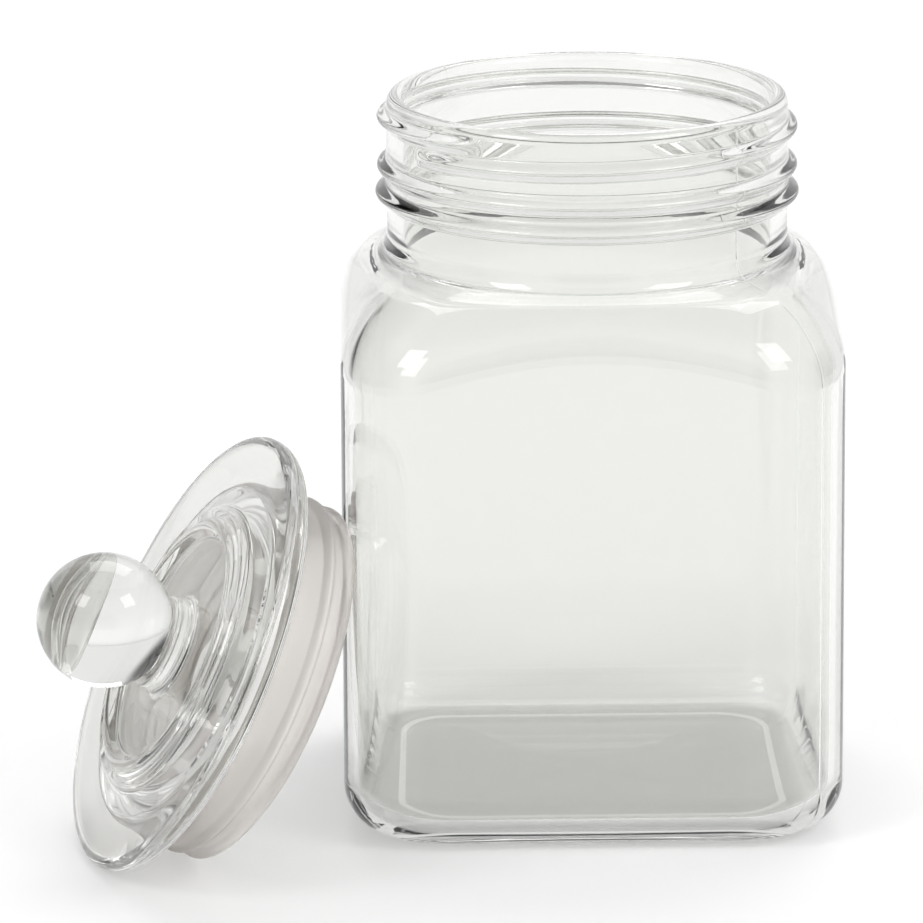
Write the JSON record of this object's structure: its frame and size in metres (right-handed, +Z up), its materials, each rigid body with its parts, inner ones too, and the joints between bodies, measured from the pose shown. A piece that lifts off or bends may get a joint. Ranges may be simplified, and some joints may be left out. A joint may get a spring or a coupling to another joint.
{
  "type": "lidded glass canister",
  "caption": "Square clear-glass storage jar with a round threaded neck and wide mouth, and its round glass lid with a ball knob and a ribbed sealing ring, leaning on the jar.",
  "frame": {"origin": "centre of the jar's flat underside", "axes": "+Z up along the jar's neck, +X towards the jar's right side, -Y towards the front; the lid leans on the jar's left side, at -X and towards the front"},
  "size_m": [0.1844, 0.1599, 0.166],
  "materials": {
    "clear_glass": "clear, smooth, slightly wavy where it is moulded",
    "frosted_seal": "frosted, translucent"
  },
  "bodies": {
    "jar": {"jar": "clear_glass"},
    "lid": {"lid": "clear_glass", "knob": "clear_glass", "gasket": "frosted_seal"}
  },
  "joints": [
    {"name": "lid_lift", "type": "slide", "parent": "jar", "child": "lid", "axis": [0, 0, 1], "range_m": [0, 0.2]}
  ]
}
